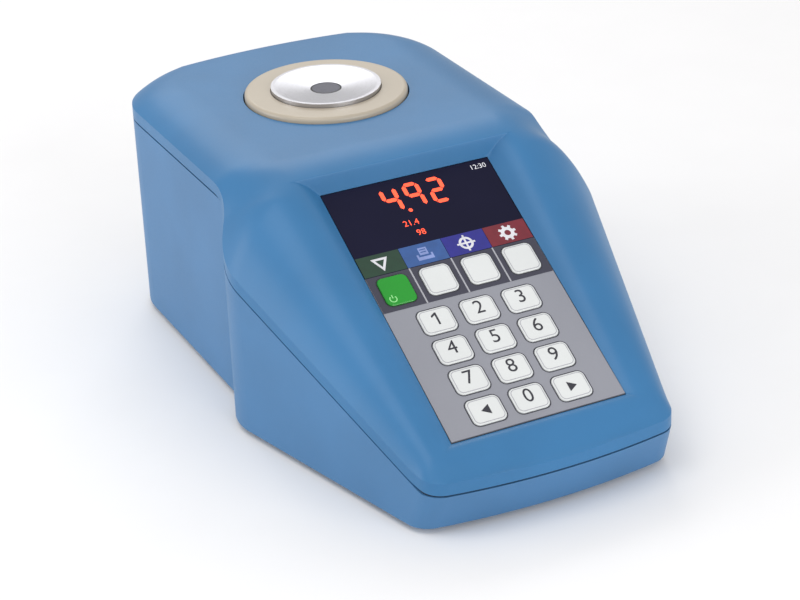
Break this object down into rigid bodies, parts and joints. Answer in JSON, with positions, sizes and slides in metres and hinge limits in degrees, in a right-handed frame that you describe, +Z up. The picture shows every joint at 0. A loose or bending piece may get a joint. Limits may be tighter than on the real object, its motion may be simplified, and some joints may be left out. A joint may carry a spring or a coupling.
{
  "type": "refractometer",
  "caption": "Bench refractometer with a wedge case, a sloping keypad and display, and a round prism dish on its flat top.",
  "frame": {"origin": "middle of the footprint, on the surface the feet stand on", "axes": "+Z up, -Y towards the person at the keypad, +X to that person's right"},
  "size_m": [0.174, 0.295, 0.1154],
  "materials": {
    "blue_case": "satin light blue",
    "blue_cover": "satin blue with a soft sheen",
    "dark_seal": "matt black",
    "zinc_screw": "zinc plated",
    "black_rubber": "matt black",
    "beige_collar": "smooth beige",
    "polished_steel": "polished",
    "dark_glass": "polished",
    "bare_aluminium": "machined",
    "white_ceramic": "white ceramic",
    "nickel_brass": "nickel plated",
    "black_housing": "matt black",
    "clear_glass": "polished",
    "green_board": "solder resist",
    "clear_window": "smooth tinted",
    "grey_overlay": "fine matt film",
    "spring_steel": "bright",
    "grey_plate": "matt",
    "green_key": "smooth green",
    "white_key": "smooth off-white"
  },
  "bodies": {
    "case": {"base_case": "blue_case", "board_components": "black_housing", "board_screws": "zinc_screw", "case_gasket": "dark_seal", "case_screws": "zinc_screw", "chassis_pillars": "nickel_brass", "connector_plate": "grey_plate", "display_module": "black_housing", "display_window": "clear_window", "head_seal": "dark_seal", "heat_sink": "bare_aluminium", "insulating_collar": "beige_collar", "key_domes": "spring_steel", "keypad_board": "green_board", "keypad_overlay": "grey_overlay", "lens": "clear_glass", "lens_barrel": "black_housing", "light_source": "black_housing", "line_sensor": "black_housing", "main_board": "green_board", "peltier_modules": "white_ceramic", "power_inlet": "black_housing", "prism": "dark_glass", "prism_dish": "polished_steel", "prism_seal": "dark_seal", "rubber_feet": "black_rubber", "sensor_board": "green_board", "serial_port": "spring_steel", "thermal_block": "bare_aluminium", "top_cover": "blue_cover", "usb_port": "spring_steel"},
    "key_0_cap": {"key_0": "white_key"},
    "key_1_cap": {"key_1": "white_key"},
    "key_2_cap": {"key_2": "white_key"},
    "key_3_cap": {"key_3": "white_key"},
    "key_4_cap": {"key_4": "white_key"},
    "key_5_cap": {"key_5": "white_key"},
    "key_6_cap": {"key_6": "white_key"},
    "key_7_cap": {"key_7": "white_key"},
    "key_8_cap": {"key_8": "white_key"},
    "key_9_cap": {"key_9": "white_key"},
    "key_left_cap": {"key_left": "white_key"},
    "key_power_cap": {"key_power": "green_key"},
    "key_right_cap": {"key_right": "white_key"},
    "key_soft_1_cap": {"key_soft_1": "white_key"},
    "key_soft_2_cap": {"key_soft_2": "white_key"},
    "key_soft_3_cap": {"key_soft_3": "white_key"}
  },
  "joints": [
    {"name": "key_0_press", "type": "slide", "parent": "case", "child": "key_0_cap", "axis": [0, 0.4741, -0.8805], "range_m": [0, 0.0005], "stiffness_N_per_m": 600},
    {"name": "key_1_press", "type": "slide", "parent": "case", "child": "key_1_cap", "axis": [0, 0.4741, -0.8805], "range_m": [0, 0.0005], "stiffness_N_per_m": 600},
    {"name": "key_2_press", "type": "slide", "parent": "case", "child": "key_2_cap", "axis": [0, 0.4741, -0.8805], "range_m": [0, 0.0005], "stiffness_N_per_m": 600},
    {"name": "key_3_press", "type": "slide", "parent": "case", "child": "key_3_cap", "axis": [0, 0.4741, -0.8805], "range_m": [0, 0.0005], "stiffness_N_per_m": 600},
    {"name": "key_4_press", "type": "slide", "parent": "case", "child": "key_4_cap", "axis": [0, 0.4741, -0.8805], "range_m": [0, 0.0005], "stiffness_N_per_m": 600},
    {"name": "key_5_press", "type": "slide", "parent": "case", "child": "key_5_cap", "axis": [0, 0.4741, -0.8805], "range_m": [0, 0.0005], "stiffness_N_per_m": 600},
    {"name": "key_6_press", "type": "slide", "parent": "case", "child": "key_6_cap", "axis": [0, 0.4741, -0.8805], "range_m": [0, 0.0005], "stiffness_N_per_m": 600},
    {"name": "key_7_press", "type": "slide", "parent": "case", "child": "key_7_cap", "axis": [0, 0.4741, -0.8805], "range_m": [0, 0.0005], "stiffness_N_per_m": 600},
    {"name": "key_8_press", "type": "slide", "parent": "case", "child": "key_8_cap", "axis": [0, 0.4741, -0.8805], "range_m": [0, 0.0005], "stiffness_N_per_m": 600},
    {"name": "key_9_press", "type": "slide", "parent": "case", "child": "key_9_cap", "axis": [0, 0.4741, -0.8805], "range_m": [0, 0.0005], "stiffness_N_per_m": 600},
    {"name": "key_left_press", "type": "slide", "parent": "case", "child": "key_left_cap", "axis": [0, 0.4741, -0.8805], "range_m": [0, 0.0005], "stiffness_N_per_m": 600},
    {"name": "key_power_press", "type": "slide", "parent": "case", "child": "key_power_cap", "axis": [0, 0.4741, -0.8805], "range_m": [0, 0.0005], "stiffness_N_per_m": 600},
    {"name": "key_right_press", "type": "slide", "parent": "case", "child": "key_right_cap", "axis": [0, 0.4741, -0.8805], "range_m": [0, 0.0005], "stiffness_N_per_m": 600},
    {"name": "key_soft_1_press", "type": "slide", "parent": "case", "child": "key_soft_1_cap", "axis": [0, 0.4741, -0.8805], "range_m": [0, 0.0005], "stiffness_N_per_m": 600},
    {"name": "key_soft_2_press", "type": "slide", "parent": "case", "child": "key_soft_2_cap", "axis": [0, 0.4741, -0.8805], "range_m": [0, 0.0005], "stiffness_N_per_m": 600},
    {"name": "key_soft_3_press", "type": "slide", "parent": "case", "child": "key_soft_3_cap", "axis": [0, 0.4741, -0.8805], "range_m": [0, 0.0005], "stiffness_N_per_m": 600}
  ]
}
